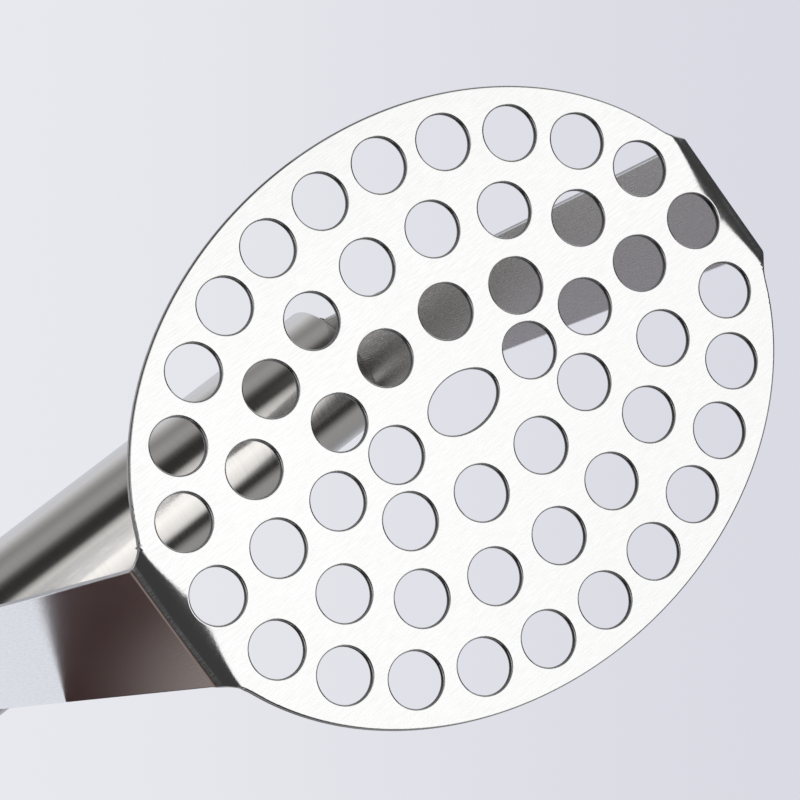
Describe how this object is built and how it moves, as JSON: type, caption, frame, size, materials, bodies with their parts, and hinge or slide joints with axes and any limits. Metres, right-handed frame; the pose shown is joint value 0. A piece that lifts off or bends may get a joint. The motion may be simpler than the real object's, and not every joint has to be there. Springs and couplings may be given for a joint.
{
  "type": "potato masher",
  "caption": "U-shaped potato masher: oval perforated head and two flat straps folded from one sheet, with a round tube grip across the straps' tops.",
  "frame": {"origin": "middle of the mashing face, which rests on z = 0", "axes": "+X along the head's long axis towards one strap, +Y across the head, +Z from the head up to the grip"},
  "size_m": [0.1064, 0.083, 0.167],
  "materials": {
    "brushed_sheet": "fine brushed lines along the head's length",
    "satin_tube": "satin, with long soft reflections",
    "cap_steel": "satin",
    "weld_metal": "dull, finely rippled"
  },
  "bodies": {
    "root": {"masher_body": "brushed_sheet", "grip_tube": "satin_tube", "left_end_cap": "cap_steel", "right_end_cap": "cap_steel", "left_strap_weld": "weld_metal", "right_strap_weld": "weld_metal"}
  },
  "joints": []
}
